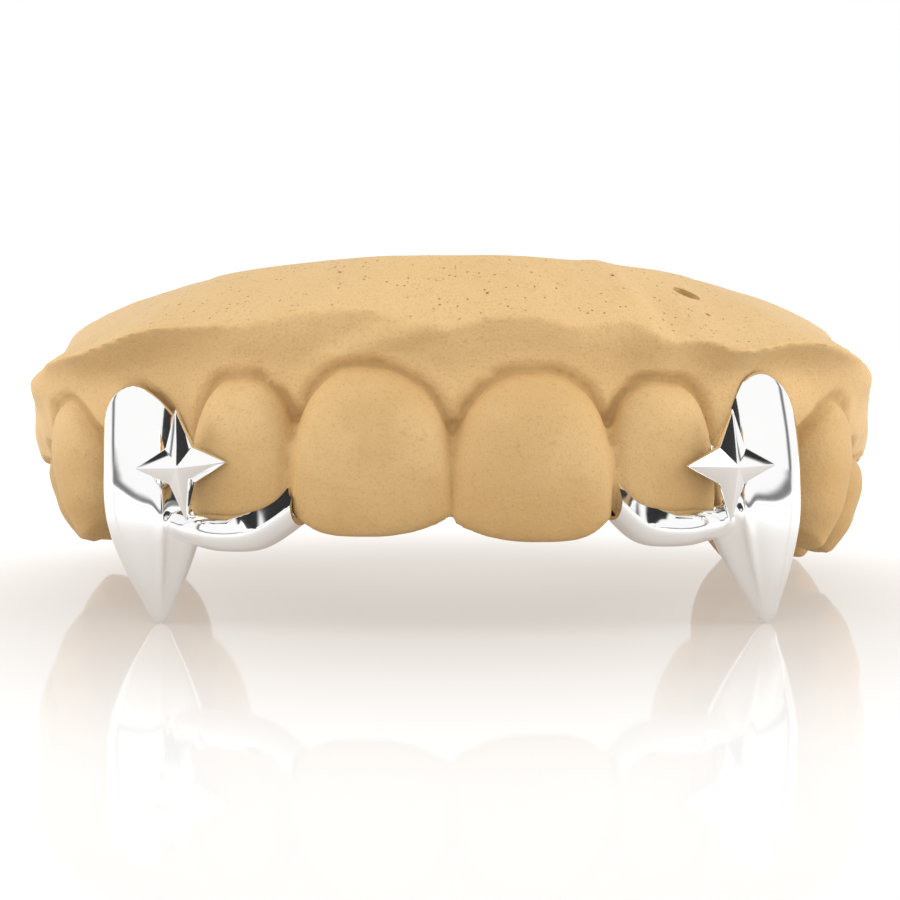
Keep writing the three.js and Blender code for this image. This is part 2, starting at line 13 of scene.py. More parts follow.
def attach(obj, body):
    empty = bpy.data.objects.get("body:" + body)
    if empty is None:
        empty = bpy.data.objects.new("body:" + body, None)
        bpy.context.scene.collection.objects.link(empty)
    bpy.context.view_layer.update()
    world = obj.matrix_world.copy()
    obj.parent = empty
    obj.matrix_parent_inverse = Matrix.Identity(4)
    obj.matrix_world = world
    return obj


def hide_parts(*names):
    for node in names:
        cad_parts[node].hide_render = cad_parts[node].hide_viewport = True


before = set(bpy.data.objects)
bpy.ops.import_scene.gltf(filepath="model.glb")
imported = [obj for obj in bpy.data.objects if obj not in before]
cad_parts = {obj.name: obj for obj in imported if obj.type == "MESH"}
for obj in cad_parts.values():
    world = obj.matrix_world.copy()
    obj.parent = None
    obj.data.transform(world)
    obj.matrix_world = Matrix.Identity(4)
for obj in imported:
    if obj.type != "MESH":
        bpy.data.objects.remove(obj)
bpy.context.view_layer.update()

# Where the cast's frame lies in the row's frame
LEAN = 8.008  # degrees that the set leans back
SET_SHIFT = (0, -24.166, 5.976)

# Driving sizes of the cast, in millimetres
ARCH_HALF_WIDTH = 24.2
ARCH_LENGTH = 38.6
TOOTH_DEPTH = 8.8
CROWN_HEIGHT = 10.2
BASE_HEIGHT = 16.9
RIDGE_HEIGHT = 12.2
RIDGE_OUT = 3.7
ARM_WIDTH = 12.5
BEVEL_BULGE = 0.3
VALLEY_DEPTH = 0.34  # soft groove where a tooth meets the gum
MARGIN_SWELL = 0.55  # rolled gum beside it

# Driving sizes of the silver
FANG_WIDTH = 6.1
FANG_DROP = 4.9
FANG_TOP = 9.7
FIT_GAP = 0.16  # closer than in the plain solids, clear of the plaster's grain
STAR_HEIGHT = 6.65
STAR_WIDTH = 5.5
STAR_RISE = 1.15
STAR_PLATE = 0.5
STAR_UP = 4.3
NOTCH_X = 0.145
NOTCH_Y = 0.16
STAR_EDGE = 0.08  # softening of the star's edges
BOSS_WIDTH = 1.9
BOSS_LENGTH = 3.9
BAR_THICKNESS = 2.9
BAR_HEIGHT = 2.2
RIM_ROLL = 0.18  # rounding of the cap's edge

# How finely the pieces are cut
VOXEL = 0.22
CAST_TRIANGLES = 185000
CAST_STATIONS = 420
CUT_STATIONS = 160
GUM_ROWS = 22
BEVEL_ROWS = 14
FLAT_ROWS = 12
TONGUE_ROWS = 26
FLOOR_ROWS = 8
FANG_SIDES = 144
FANG_LEVELS = 120
BAR_SIDES = 96
BAR_STEPS = 72

# Edges that bend further than this stay crisp, in degrees
CAST_CRISP = 60
CAP_CRISP = 28

# How the cast is softened, in rounds of smoothing over its mesh
SKIN_ROUNDS = 6  # the joined skins
BORDER_ROUNDS = 12  # the border between tooth and gum
GROUND_ROUNDS = 8  # the border of the ground plaster
SWELL_ROUNDS = 90  # the gum's roll beside a tooth
RELIEF_ROUNDS = 4  # the finished relief
HOLLOW_ROUNDS = 22  # what hollows are measured from, for the painted shade in them
HOLLOW_DEPTH = 0.25  # millimetres that count as fully hollow, where the painted shade is full
RELIEF_FROM = 4.0  # height at which the groove and the roll begin
RELIEF_FULL = 7.0  # and are full
GROUND_WALL = 0.35  # share of the tongue side's rows that is ground
TOOTH_GRAIN = 0.25  # share of the grain that the teeth and the ground plaster keep

RAD = math.pi / 180
TO_ROW = (
    Matrix.Scale(0.001, 4)
    @ Matrix.Translation(SET_SHIFT)
    @ Matrix.Rotation(-LEAN * RAD, 4, "X")
)


def table(columns, *rows):
    """Rows of a table as a dictionary of columns."""
    names = columns.split()
    return {name: [row[i] for row in rows] for i, name in enumerate(names)}


def named_rows(columns, *rows):
    """Rows of a table as one dictionary each."""
    return [dict(zip(columns.split(), row)) for row in rows]


# The teeth of one side. x and width are shares of the arch's half width, y of its length, depth of the
# tooth depth, crown and drop of the crown height, and facing is in degrees. A width of a tooth with
# more than one cusp is a share of the arch's length.
TEETH = named_rows(
    "name kind x y facing width depth crown drop",
    ("central", "incisor", 0.186, 0.083, 4, 0.385, 0.74, 1.0, 0.0),
    ("lateral", "incisor", 0.484, 0.132, 21, 0.2835, 0.69, 0.93, -0.05),
    ("canine", "canine", 0.75, 0.205, 40, 0.211, 0.74, 1.0, 0.03),
    ("premolar_1", "premolar", 0.88, 0.366, 62, 0.187, 1.0, 0.92, 0.005),
    ("premolar_2", "premolar", 0.935, 0.533, 76, 0.1825, 1.02, 0.85, -0.04),
    ("molar_1", "molar", 0.99, 0.762, 83, 0.2645, 1.26, 0.75, -0.015),
    ("molar_2", "molar", 1.0, 1.0, 86, 0.251, 1.2, 0.72, -0.02),
)
# How much lower the right tooth of a pair reaches and how much higher the left one ends, in shares of
# the crown height
UNEVEN = {
    "central": 0.015,
    "premolar_1": 0.025,
    "premolar_2": 0.02,
    "molar_1": 0.045,
    "molar_2": 0.065,
}
# How much further right both teeth of a pair stand, in shares of the arch's half width
TO_RIGHT = {"molar_1": 0.012}

# Sections of a crown, from its biting edge up: half widths and depths in shares of the tooth's own
INCISOR = table(
    "up wide front back",
    (0.0, 0.95, 0.68, -0.42),
    (0.05, 0.975, 0.76, -0.36),
    (0.14, 0.99, 0.84, -0.25),
    (0.3, 1.0, 0.93, -0.05),
    (0.5, 0.99, 1.01, 0.4),
    (0.68, 0.92, 1.02, 0.78),
    (0.85, 0.76, 0.9, 0.95),
    (1.0, 0.55, 0.6, 0.95),
    (1.2, 0.3, 0.2, 0.8),
)
CANINE = table(
    "up wide front back",
    (0.0, 0.3, 0.25, 0.15),
    (0.05, 0.5, 0.38, 0.25),
    (0.14, 0.72, 0.5, 0.4),
    (0.3, 0.92, 0.6, 0.62),
    (0.5, 1.0, 0.66, 0.9),
    (0.7, 0.98, 0.64, 1.05),
    (0.86, 0.86, 0.52, 1.1),
    (1.0, 0.7, 0.36, 1.05),
    (1.2, 0.55, 0.1, 0.9),
)
MOLAR = table(
    "up wide front back",
    (0.0, 0.66, 0.6, 0.6),
    (0.06, 0.8, 0.76, 0.76),
    (0.2, 0.94, 0.9, 0.92),
    (0.42, 1.0, 1.0, 1.0),
    (0.65, 0.95, 0.98, 1.0),
    (0.85, 0.84, 0.88, 0.95),
    (1.0, 0.72, 0.74, 0.88),
    (1.2, 0.55, 0.5, 0.7),
)
CROWN_SECTIONS = {"incisor": INCISOR, "canine": CANINE, "premolar": MOLAR, "molar": MOLAR}
CROWN_POWER = {"incisor": 2.5, "canine": 2.2, "premolar": 2.5, "molar": 2.9}
# Where each cusp stands across and ahead, in shares of the tooth's half sizes, and its rise in
# millimetres
CUSPS = {
    "incisor": [],
    "canine": [(0, 0.1, 0.5)],
    "premolar": [(0.0, 0.42, 1.5), (0.05, -0.5, 0.7)],
    "molar": [(-0.42, 0.52, 1.3), (0.44, 0.5, 1.2), (-0.45, -0.5, 1.4), (0.42, -0.5, 1.3)],
}
CUSP_SPREAD = 0.42
CUSP_FADE = 0.3
# How a front tooth's edge rises to its corners, in millimetres: the inner one is nearer the midline
INNER_CORNER = 1.15
INNER_POWER = 2.2
OUTER_CORNER = 1.6
OUTER_POWER = 4
TONGUE_TAPER = 0.16

# The gum and the base at stations round one arm: where the arch runs, how far the gum stands out at
# each of its heights, where the top flat begins and how far in the tongue side lies
STATIONS = table(
    "at x y low mid high lip ridge flat inner",
    (0, 0, 0.079, 0.34, 0.46, 0.62, 0.83, 1.0, -0.15, 0.72),
    (1, 0.186, 0.083, 0.34, 0.46, 0.62, 0.83, 1.0, -0.2, 0.72),
    (2, 0.47, 0.132, 0.28, 0.42, 0.62, 0.9, 1.1, -0.6, 0.74),
    (3, 0.75, 0.205, 0.1, 0.34, 0.44, 0.64, 1.25, -1.25, 0.8),
    (4, 0.88, 0.366, 0.6, 0.95, 1.15, 1.35, 1.45, -0.95, 0.76),
    (5, 0.935, 0.533, 1.1, 1.4, 1.5, 1.6, 1.65, -0.25, 0.72),
    (6, 0.962, 0.762, 1.75, 1.9, 1.92, 1.93, 1.93, 0.8, 0.7),
    (7, 1.0, 1.0, 1.8, 1.97, 2.0, 2.02, 2.02, 1.5, 0.68),
    (8, 1.03, 1.17, 1.8, 1.97, 2.0, 2.02, 2.02, 1.6, 0.66),
)
GUM_HEIGHTS = {"low": 0.56, "mid": 0.69, "high": 0.82, "lip": 0.92, "ridge": 1.0}
# The gum's ridge all round the arch from the viewer's left, in shares of the ridge height
RIDGE_LINE = table(
    "at height",
    (-8, 0.98),
    (-6, 0.96),
    (-4.2, 0.9),
    (-3.4, 0.925),
    (-3.1, 0.93),
    (-2.7, 1),
    (-2.3, 1.015),
    (-1.8, 1.03),
    (-1.45, 1.07),
    (-1, 1.065),
    (-0.85, 1.05),
    (-0.57, 1),
    (-0.35, 0.99),
    (0.2, 0.995),
    (0.4, 1.02),
    (0.8, 1.035),
    (1.05, 1.02),
    (1.2, 1),
    (1.55, 1.02),
    (1.8, 1.01),
    (1.97, 0.945),
    (2.3, 0.945),
    (2.5, 0.905),
    (2.9, 0.955),
    (3.2, 0.97),
    (4.1, 0.95),
    (6, 0.97),
    (8, 0.98),
)
# The tongue side, from the top flat down, in shares of how far in it lies and of the base height
TONGUE_FACE = table(
    "inner height",
    (1.0, 1.0),
    (0.98, 0.8),
    (0.84, 0.6),
    (0.62, 0.46),
    (0.3, 0.36),
    (0.0, 0.34),
)

# Sections of a cap from its top down, in shares of half the fang's width
FANG_SECTIONS = table(
    "down side front back",
    (0.0, 0.84, 0.86, 0.8),
    (0.12, 0.92, 0.92, 0.86),
    (0.3, 1.0, 0.97, 0.9),
    (0.48, 1.02, 0.96, 0.92),
    (0.6, 0.94, 0.88, 0.84),
    (0.72, 0.75, 0.7, 0.66),
    (0.84, 0.5, 0.48, 0.44),
    (0.93, 0.29, 0.28, 0.26),
    (0.98, 0.15, 0.15, 0.14),
    (1.0, 0.05, 0.05, 0.05),
)
FANG_POWER = 2.15
MARGIN_LOW = 1.5  # height of the cap's edge at the back
MARGIN_POWER = 1.05
MARGIN_TURN = 25  # degrees that the edge's highest place is turned towards the front teeth
RIM_IN = 1.0
LEAN_FROM = 0.4  # share of the fang down from its top where it doesn't lean
LEAN_POWER = 1.5
TIP_FADE = 0.16  # share of the fang over which its creases die away towards the tip
# Soft creases down the fang: where round it and how wide, in degrees, how proud in shares of its
# section, and where down it each begins and is full
CREASES = table("turn width rise start full", (144, 7, 0.075, 0.4, 0.65), (190, 17, 0.17, 0.02, 0.4))

# The two caps: how much higher each rises and how far it leans in at its top and its tip, in
# millimetres, where its bar and its star lie, and the star's turns in degrees
SIDES = named_rows(
    "name side rise top_in tip_in bar_up bar_short star_in star_out yaw pitch roll",
    ("left", -1, -0.35, -0.4, 0.5, 0, 0, 0.877, 0.433, 5, -12, 3.5),
    ("right", 1, 0.45, 0.3, -0.95, 0.3, 0.15, 0.815, 0.485, 11, -10, 2),
)
# The bar's centre line, from its end near the midline to the fang. All places but the last are set from
# the side incisor, along it in shares of its half width and out from it in millimetres, and the last
# from the canine in shares of the fang's width. Thick and high are shares of the bar's own sizes.
BAR_PATH = table(
    "at along out up thick high",
    (0, -1.09, 1.6, 2.15, 0.94, 1.2),
    (1, -0.5, 1.8, 0.82, 1.0, 1.12),
    (2, 0.0, 1.9, 0.42, 1.0, 1.0),
    (3, 0.45, 1.85, 0.5, 1.0, 1.0),
    (4, 0.85, 1.3, 0.7, 0.95, 0.95),
    (5, -0.36, 0.0, 1.0, 0.8, 0.9),
)
BAR_POWER = 2.3
# The flat filed along the bar's top front edge: how far it faces up, in degrees, and how far out it
# lies, where 1 is the corner of a square bar
BAR_FLAT = table("at turn reach", (0, 27, 0.6), (1.4, 31, 0.66), (2.4, 46, 0.8), (5, 60, 1.1))

# Air bubbles opened in the ground bevel: where round the arch, how far up the bevel, size in
# millimetres and tilt in degrees
BUBBLES = table(
    "at up wide high tilt",
    (2.4, 0.62, 1.9, 1.15, -14),
    (2.46, 0.36, 0.34, 0.3, 0),
    (1.74, 0.66, 0.28, 0.22, 0),
    (-1.3, 0.6, 0.22, 0.18, 0),
    (-2.6, 0.35, 0.24, 0.2, 0),
    (0.5, 0.3, 0.2, 0.16, 0),
)

# Folds left by the lip and by the grinding wheel: each runs straight between two places, given round
# the arch and by row of the section, with its half width and its rise in millimetres
FOLDS = table(
    "from_at from_row to_at to_row wide rise",
    (-0.3, 21, -0.85, 16, 0.8, 0.3),
    (-0.85, 16, -1.25, 12, 0.7, 0.22),
    (1.68, 36, 1.84, 27, 1.0, 0.16),
    (1.84, 27, 1.93, 22, 1.0, 0.2),
)

# Unevenness of the plaster: how far it goes in and out and how wide its waves are, in millimetres, and
# the seed of its noise
GUM_WAVES = (0.08, 4.2, 3)
GUM_RIPPLES = (0.05, 1.7, 4)
GRAIN = (0.014, 0.62, 5)
GROUND_WAVES = (0.03, 2.6, 6)

# The camera: its place in metres, how far down it looks in degrees and its lens in millimetres
CAMERA_PLACE = (-0.00012, -0.12417, 0.0171)
CAMERA_DOWN = 3.5
CAMERA_LENS = 71.2

# The lights, in metres and watts, all aimed at one point; only those that say so are seen mirrored
LIGHT_AIM = (0, 0, 0.01)
LIGHTS = named_rows(
    "name size power place mirrored",
    ("key", (0.3, 0.2), 0.28, (-0.1, -0.2, 0.32), True),
    ("left fill", (0.3, 0.3), 0.95, (-0.4, -0.09, 0.1), False),
    ("right fill", (0.3, 0.3), 1.25, (0.4, -0.09, 0.1), False),
)


def spline(at, values):
    """A natural cubic spline through values at the rising places at."""
    at = np.asarray(at, float)
    values = np.asarray(values, float)
    count = len(at)
    gap = np.diff(at)
    slope = np.diff(values) / gap
    matrix = np.eye(count)
    right = np.zeros(count)
    for i in range(1, count - 1):
        matrix[i, i - 1 : i + 2] = gap[i - 1], 2 * (gap[i - 1] + gap[i]), gap[i]
        right[i] = 6 * (slope[i] - slope[i - 1])
    bend = np.linalg.solve(matrix, right)

    def read(t):
        t = np.clip(t, at[0], at[-1])
        i = np.clip(np.searchsorted(at, t, side="right") - 1, 0, count - 2)
        b = (t - at[i]) / gap[i]
        a = 1 - b
        cubic = (a**3 - a) * bend[i] + (b**3 - b) * bend[i + 1]
        return a * values[i] + b * values[i + 1] + cubic * gap[i] ** 2 / 6

    return read


def splines(rows):
    """One spline for each column of a table after its first."""
    at, *columns = rows
    return {column: spline(rows[at], rows[column]) for column in columns}


def rounded_box(turn, wide, deep, power):
    """A point on a rounded box of half sizes wide and deep."""
    across = np.cos(turn)
    ahead = np.sin(turn)
    return (
        wide * np.sign(across) * np.abs(across) ** (2 / power),
        deep * np.sign(ahead) * np.abs(ahead) ** (2 / power),
    )


def loft(rings):
    """Vertices and faces of a closed skin over rings of points, wound outwards."""
    rings = np.asarray(rings, float)
    count, sides, _ = rings.shape
    points = np.concatenate([rings.reshape(-1, 3), [rings[0].mean(0), rings[-1].mean(0)]])
    j = np.arange(sides)
    k = (j + 1) % sides
    base = (np.arange(count - 1) * sides)[:, None]
    quads = np.stack([base + j, base + k, base + sides + k, base + sides + j], -1).reshape(-1, 4)
    start = count * sides
    last = start - sides
    fans = np.concatenate([
        np.stack([np.full(sides, start), k, j], -1),
        np.stack([np.full(sides, start + 1), last + j, last + k], -1),
    ])
    corners = points[fans]
    ends = np.einsum("ij,ij->i", corners[:, 0], np.cross(corners[:, 1], corners[:, 2])).sum()
    a, b, c, d = (points[quads[:, n]] for n in range(4))
    walls = np.einsum("ij,ij->i", a, np.cross(b, c)) + np.einsum("ij,ij->i", a, np.cross(c, d))
    if ends + walls.sum() < 0:
        quads = quads[:, ::-1]
        fans = fans[:, ::-1]
    return points, [face.tolist() for face in quads] + [face.tolist() for face in fans]


def joined(parts):
    """Several skins as one list of points and one of faces."""
    points = []
    faces = []
    for part_points, part_faces in parts:
        first = sum(len(p) for p in points)
        points.append(part_points)
        faces += [[first + i for i in face] for face in part_faces]
    return np.concatenate(points), faces


def mesh_object(name, points, faces):
    mesh = bpy.data.meshes.new(name)
    mesh.from_pydata([tuple(p) for p in points], [], faces)
    made = bpy.data.objects.new(name, mesh)
    bpy.context.scene.collection.objects.link(made)
    return made


def applied(piece):
    """Applies a piece's modifiers to its mesh."""
    view = bpy.context.evaluated_depsgraph_get()
    view.update()
    mesh = bpy.data.meshes.new_from_object(piece.evaluated_get(view))
    old = piece.data
    piece.modifiers.clear()
    piece.data = mesh
    bpy.data.meshes.remove(old)


def read_points(mesh):
    points = np.empty(len(mesh.vertices) * 3)
    mesh.vertices.foreach_get("co", points)
    return points.reshape(-1, 3)


def write_points(mesh, points):
    mesh.vertices.foreach_set("co", np.ascontiguousarray(points, np.float32).ravel())
    mesh.update()


def read_normals(mesh):
    normals = np.empty(len(mesh.vertices) * 3)
    mesh.vertex_normals.foreach_get("vector", normals)
    return normals.reshape(-1, 3)


def read_edges(mesh):
    edges = np.empty(len(mesh.edges) * 2, int)
    mesh.edges.foreach_get("vertices", edges)
    return edges.reshape(-1, 2)


def smoothed(points, edges, rounds, strength=0.5, back=-0.53):
    """Points relaxed towards their neighbours; back keeps the volume, and 0 leaves that out."""
    a, b = edges.T
    count = np.bincount(edges.ravel(), minlength=len(points))[:, None]
    for _ in range(rounds):
        for share in (strength, back):
            if share == 0:
                continue
            total = np.empty_like(points)
            for n in range(3):
                total[:, n] = np.bincount(a, points[b, n], len(points))
                total[:, n] += np.bincount(b, points[a, n], len(points))
            points = points + share * (total / count - points)
    return points


def waves(points, height, cell, seed):
    """Smooth noise from -height to height over points, with a grid of cell millimetres."""
    lattice = np.random.default_rng(seed).uniform(-1, 1, (32, 32, 32))
    scaled = points / cell
    low = np.floor(scaled).astype(int)
    part = scaled - low
    part = part * part * (3 - 2 * part)
    total = 0
    for corner in np.ndindex(2, 2, 2):
        weight = np.prod(np.where(corner, part, 1 - part), axis=1)
        index = (low + corner) % 32
        total = total + weight * lattice[index[:, 0], index[:, 1], index[:, 2]]
    return height * total


def axes_of(facing):
    """The directions out of and along the arch for a tooth that faces facing degrees from the front."""
    turn = facing * RAD
    return np.array([math.sin(turn), -math.cos(turn)]), np.array([math.cos(turn), math.sin(turn)])


def tooth_named(name):
    return next(tooth for tooth in TEETH if tooth["name"] == name)


def tooth_place(tooth, side):
    """Where a tooth stands in the cast's frame."""
    out, along = axes_of(tooth["facing"])
    cusp = max([0] + [rise for _, _, rise in CUSPS[tooth["kind"]]])
    span = ARCH_LENGTH if len(CUSPS[tooth["kind"]]) > 1 else ARCH_HALF_WIDTH
    x = (tooth["x"] + side * TO_RIGHT.get(tooth["name"], 0)) * ARCH_HALF_WIDTH
    return dict(
        out=out,
        along=along,
        middle=np.array([x, tooth["y"] * ARCH_LENGTH]),
        half_width=tooth["width"] * span / 2,
        half_depth=tooth["depth"] * TOOTH_DEPTH / 2,
        height=tooth["crown"] * CROWN_HEIGHT,
        edge=cusp - (tooth["drop"] + side * UNEVEN.get(tooth["name"], 0)) * CROWN_HEIGHT,
    )


def from_tooth(place, side, across, ahead, up):
    """Points given by their distances along and out of a tooth's own axes."""
    across, ahead, up = np.broadcast_arrays(across, ahead, up)
    x = place["middle"][0] + across * place["along"][0] + ahead * place["out"][0]
    y = place["middle"][1] + across * place["along"][1] + ahead * place["out"][1]
    return np.stack([side * x, y, up], -1)


def bite_relief(kind, across, ahead):
    """How far a biting face stands out past its edge."""
    height = np.zeros_like(across)
    for cusp_across, cusp_ahead, rise in CUSPS[kind]:
        away = (across - cusp_across) ** 2 + (ahead - cusp_ahead) ** 2
        height += rise * np.exp(-away / CUSP_SPREAD**2)
    if kind == "incisor":
        wide = np.abs(across)
        outer = OUTER_CORNER * wide**OUTER_POWER
        inner = INNER_CORNER * wide**INNER_POWER
        height -= np.where(across > 0, outer, inner)
    return height


def tooth_skin(tooth, side, grow=0.0, sides=72, levels=46, cap_rings=12):
    """A tooth's closed skin, with grow millimetres added all round."""
    place = tooth_place(tooth, side)
    kind = tooth["kind"]
    sections = CROWN_SECTIONS[kind]
    shape = splines(sections)
    root_up = sections["up"][-1]
    turn = (np.arange(sides) + 0.5) / sides * 2 * math.pi

    def ring(up, shrink):
        wide = shape["wide"](up) * place["half_width"] + grow
        front = shape["front"](up) * place["half_depth"] + grow
        back = shape["back"](up) * place["half_depth"] + grow
        fade = max(0, 1 - up / CUSP_FADE) ** 2
        box = rounded_box(turn, wide, (front + back) / 2, CROWN_POWER[kind])
        taper = 1 - TONGUE_TAPER * np.maximum(0, -np.sin(turn))
        across = box[0] * taper * shrink
        ahead = (front - back) / 2 + box[1] * shrink
        relief = bite_relief(kind, across / place["half_width"], ahead / place["half_depth"])
        up_mm = place["edge"] + up * place["height"] - relief * fade - grow * (1 - up / root_up)
        return from_tooth(place, side, across, ahead, up_mm)

    rings = [ring(root_up * (1 - i / levels) ** 1.35, 1) for i in range(levels + 1)]
    rings += [ring(0, 1 - i / cap_rings) for i in range(1, cap_rings)]
    return loft(rings)


def mirrored_stations():
    """The stations of both arms, from the viewer's left to the right."""
    both = {}
    for column, values in STATIONS.items():
        sign = -1 if column in ("at", "x") else 1
        both[column] = [sign * v for v in values[:0:-1]] + values
    return both


STATION_CURVES = splines(mirrored_stations())
RIDGE_CURVE = spline(RIDGE_LINE["at"], RIDGE_LINE["height"])


def gum_profile(at, grow=0.0):
    """The section of gum and base at one station, anticlockwise from the lowest gum point."""
    ridge_up = float(RIDGE_CURVE(at)) * RIDGE_HEIGHT
    outs = [float(STATION_CURVES[key](at)) * RIDGE_OUT for key in GUM_HEIGHTS]
    share = np.linspace(GUM_HEIGHTS["low"], 1, GUM_ROWS)
    gum = np.stack([spline(list(GUM_HEIGHTS.values()), outs)(share), share * ridge_up], -1)
    flat_out = float(STATION_CURVES["flat"](at)) * RIDGE_OUT
    t = np.linspace(0, 1, BEVEL_ROWS + 1)[1:, None]
    bevel = gum[-1] * (1 - t) + np.array([flat_out, BASE_HEIGHT]) * t
    bevel[:, 1] += 4 * BEVEL_BULGE * (t * (1 - t))[:, 0]
    inner = float(STATION_CURVES["inner"](at)) * ARM_WIDTH
    wall_out = -inner * np.array(TONGUE_FACE["inner"])
    wall_up = BASE_HEIGHT * np.array(TONGUE_FACE["height"])
    rows = np.arange(len(wall_out))
    t = np.linspace(0, rows[-1], TONGUE_ROWS)
    wall = np.stack([spline(rows, wall_out)(t), spline(rows, wall_up)(t)], -1)
    t = np.linspace(0, 1, FLAT_ROWS + 1)[1:-1, None]
    flat = bevel[-1] * (1 - t) + wall[0] * t
    t = np.linspace(0, 1, FLOOR_ROWS + 1)[1:-1, None]
    under = wall[-1] * (1 - t) + gum[0] * t
    profile = np.concatenate([gum, bevel, flat, wall, under])
    if grow:
        side = np.roll(profile, -1, 0) - np.roll(profile, 1, 0)
        length = np.linalg.norm(side, axis=1, keepdims=True)
        profile = profile + grow * np.stack([side[:, 1], -side[:, 0]], -1) / length
    return profile


def gum_ring(at, grow=0.0):
    """The section of gum and base at one station, in the cast's frame."""
    step = 1e-3
    dx = (STATION_CURVES["x"](at + step) - STATION_CURVES["x"](at - step)) * ARCH_HALF_WIDTH
    dy = (STATION_CURVES["y"](at + step) - STATION_CURVES["y"](at - step)) * ARCH_LENGTH
    length = math.hypot(dx, dy)
    profile = gum_profile(at, grow)
    x = STATION_CURVES["x"](at) * ARCH_HALF_WIDTH + profile[:, 0] * dy / length
    y = STATION_CURVES["y"](at) * ARCH_LENGTH - profile[:, 0] * dx / length
    return np.stack([x, y, profile[:, 1]], -1)


def gum_rings(count, grow=0.0):
    last = STATIONS["at"][-1]
    return np.array([gum_ring(last * (2 * i / count - 1), grow) for i in range(count + 1)])


def bevel_point(at, up):
    """A point on the ground bevel, its outward direction and the direction up along it."""
    ring = gum_ring(at)
    row = GUM_ROWS - 1 + up * BEVEL_ROWS
    low = int(row)
    point = ring[low] + (ring[low + 1] - ring[low]) * (row - low)
    climb = ring[low + 1] - ring[low]
    climb /= np.linalg.norm(climb)
    round_arch = gum_ring(at + 0.01)[low] - gum_ring(at - 0.01)[low]
    round_arch /= np.linalg.norm(round_arch)
    return point, np.cross(round_arch, climb), climb, round_arch


def bubble_skin(at, up, wide, high, tilt):
    """An egg that cuts one air bubble."""
    point, out, climb, across = bevel_point(at, up)
    turn = tilt * RAD
    long_way = across * math.cos(turn) + climb * math.sin(turn)
    short_way = climb * math.cos(turn) - across * math.sin(turn)
    lat = np.linspace(-1, 1, 12)[1:-1] * math.pi / 2
    lon = np.arange(20) / 20 * 2 * math.pi
    rings = [
        point
        + np.outer(np.cos(lon) * math.cos(v) * wide / 2 * (1 + 0.12 * math.sin(3 * v)), long_way)
        + np.outer(np.sin(lon) * math.cos(v) * high / 2, short_way)
        + math.sin(v) * high * 1.3 * out
        for v in lat
    ]
    return loft(rings)


def cut(piece, cutter, operation):
    """Joins or cuts a piece with another, which is then removed."""
    change = piece.modifiers.new("cut", "BOOLEAN")
    change.operation = operation
    change.object = cutter
    change.solver = "MANIFOLD"
    applied(piece)
    old = cutter.data
    bpy.data.objects.remove(cutter)
    bpy.data.meshes.remove(old)


def labels(points, rings, teeth):
    """For each point, 1 for a tooth and 0 elsewhere, and 1 for ground plaster and 0 elsewhere."""
    rows = rings.shape[1]
    row = np.tile(np.arange(rows), rings.shape[0])
    station = np.repeat(np.arange(rings.shape[0]), rows)
    last_ground = GUM_ROWS + BEVEL_ROWS + FLAT_ROWS + TONGUE_ROWS * GROUND_WALL
    is_ground = (row > GUM_ROWS - 1) & (row < last_ground)
    is_ground |= (station == 0) | (station == rings.shape[0] - 1)
    heels = [
        end.mean(0) + (end - end.mean(0)) * share
        for end in (rings[0], rings[-1])
        for share in (0.1, 0.3, 0.5, 0.7, 0.9)
    ]
    gum = np.concatenate([rings.reshape(-1, 3)] + heels)
    is_ground = np.concatenate([is_ground, np.ones(len(gum) - len(is_ground), bool)])
    source = np.concatenate([gum] + [skin_points for skin_points, _ in teeth])
    tree = KDTree(len(source))
    for i, point in enumerate(source):
        tree.insert(point, i)
    tree.balance()
    found = np.array([tree.find(point)[1] for point in points])
    tooth = (found >= len(gum)).astype(float)
    ground = np.concatenate([is_ground, np.zeros(len(source) - len(gum), bool)])[found].astype(float)
    return tooth, ground


def spread(values, edges, rounds):
    """A value at each point, softened over its neighbours."""
    return smoothed(values[:, None].repeat(3, 1), edges, rounds, 0.5, 0)[:, 0]


def folds(points):
    """How far the folds lift each point."""
    lift = np.zeros(len(points))
    for from_at, from_row, to_at, to_row, wide, rise in zip(*FOLDS.values()):
        start = gum_ring(from_at)[from_row]
        run = gum_ring(to_at)[to_row] - start
        share = np.clip((points - start) @ run / (run @ run), 0, 1)
        away = np.linalg.norm(points - start - share[:, None] * run, axis=1)
        lift = np.maximum(lift, rise * np.exp(-((away / wide) ** 2)))
    return lift


def add_attribute(mesh, name, values):
    made = mesh.attributes.new(name, "FLOAT", "POINT")
    made.data.foreach_set("value", np.asarray(values, np.float32))


